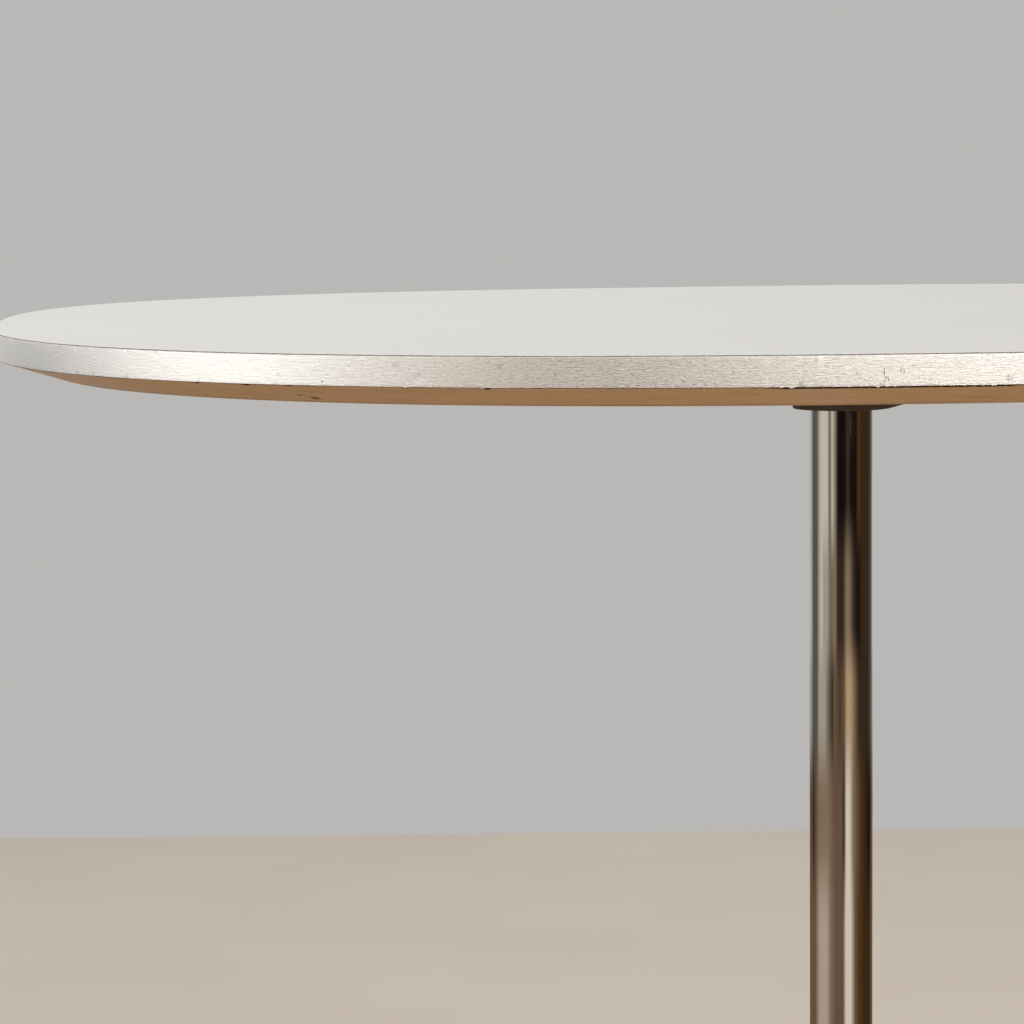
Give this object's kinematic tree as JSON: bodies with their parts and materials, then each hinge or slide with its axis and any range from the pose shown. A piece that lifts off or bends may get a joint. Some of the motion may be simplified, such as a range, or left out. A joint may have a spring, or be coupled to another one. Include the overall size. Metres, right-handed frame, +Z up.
{
  "type": "pedestal table",
  "caption": "Bistro table with a rounded-square laminate top, aluminium edge, bevelled wood underside, chrome column and four-arm star base on levelling feet.",
  "frame": {"origin": "on the floor, on the axis of the column, in the middle of the four feet", "axes": "+Z up; the four sides of the top face +X, -X, +Y and -Y, and one spider arm points along +X"},
  "size_m": [1, 1, 0.72],
  "materials": {
    "laminate_white": "satin white high-pressure laminate",
    "core_wood": "smooth tan-brown lacquered wood-based core, bevelled underneath",
    "edge_aluminium": "satin, brushed lengthways, worn",
    "backing_brown": "matt brown laminate",
    "iron_painted": "dark satin paint on cast iron",
    "base_painted": "dark satin paint on cast iron",
    "column_chrome": "polished chrome plate",
    "fastener_steel": "zinc-plated steel",
    "pad_black": "matt black"
  },
  "bodies": {
    "table": {"top_laminate": "laminate_white", "core_board": "core_wood", "edge_strip": "edge_aluminium", "backing_laminate": "backing_brown", "spider_hub": "iron_painted", "spider_arm_right": "iron_painted", "spider_arm_rear_left": "iron_painted", "spider_arm_front_left": "iron_painted", "spider_screws": "fastener_steel", "column_tube": "column_chrome", "tie_rod": "fastener_steel", "tie_rod_nuts": "fastener_steel", "tie_rod_washers": "fastener_steel", "base_hub": "base_painted", "base_arm_front_right": "base_painted", "base_arm_rear_right": "base_painted", "base_arm_rear_left": "base_painted", "base_arm_front_left": "base_painted", "base_arm_bolts": "fastener_steel", "foot_lock_nuts": "fastener_steel"},
    "pad_front_right": {"foot_pad_front_right": "pad_black"},
    "stud_front_right": {"foot_stud_front_right": "fastener_steel"},
    "pad_rear_right": {"foot_pad_rear_right": "pad_black"},
    "stud_rear_right": {"foot_stud_rear_right": "fastener_steel"},
    "pad_rear_left": {"foot_pad_rear_left": "pad_black"},
    "stud_rear_left": {"foot_stud_rear_left": "fastener_steel"},
    "pad_front_left": {"foot_pad_front_left": "pad_black"},
    "stud_front_left": {"foot_stud_front_left": "fastener_steel"}
  },
  "joints": [
    {"name": "foot_front_right_height", "type": "slide", "parent": "table", "child": "pad_front_right", "axis": [0, 0, -1], "range_m": [-0.0025, 0.01]},
    {"name": "foot_front_right_turn", "type": "hinge", "parent": "pad_front_right", "child": "stud_front_right", "pos_m": [0.24749, -0.24749, 0.0065], "axis": [0, 0, -1], "range_deg": [-721, 2881]},
    {"name": "foot_rear_right_height", "type": "slide", "parent": "table", "child": "pad_rear_right", "axis": [0, 0, -1], "range_m": [-0.0025, 0.01]},
    {"name": "foot_rear_right_turn", "type": "hinge", "parent": "pad_rear_right", "child": "stud_rear_right", "pos_m": [0.24749, 0.24749, 0.0065], "axis": [0, 0, -1], "range_deg": [-721, 2881]},
    {"name": "foot_rear_left_height", "type": "slide", "parent": "table", "child": "pad_rear_left", "axis": [0, 0, -1], "range_m": [-0.0025, 0.01]},
    {"name": "foot_rear_left_turn", "type": "hinge", "parent": "pad_rear_left", "child": "stud_rear_left", "pos_m": [-0.24749, 0.24749, 0.0065], "axis": [0, 0, -1], "range_deg": [-721, 2881]},
    {"name": "foot_front_left_height", "type": "slide", "parent": "table", "child": "pad_front_left", "axis": [0, 0, -1], "range_m": [-0.0025, 0.01]},
    {"name": "foot_front_left_turn", "type": "hinge", "parent": "pad_front_left", "child": "stud_front_left", "pos_m": [-0.24749, -0.24749, 0.0065], "axis": [0, 0, -1], "range_deg": [-721, 2881]}
  ],
  "couplings": [
    {"joint": "foot_front_right_turn", "follows": "foot_front_right_height", "rad_per_m": 5026.5},
    {"joint": "foot_rear_right_turn", "follows": "foot_rear_right_height", "rad_per_m": 5026.5},
    {"joint": "foot_rear_left_turn", "follows": "foot_rear_left_height", "rad_per_m": 5026.5},
    {"joint": "foot_front_left_turn", "follows": "foot_front_left_height", "rad_per_m": 5026.5}
  ]
}
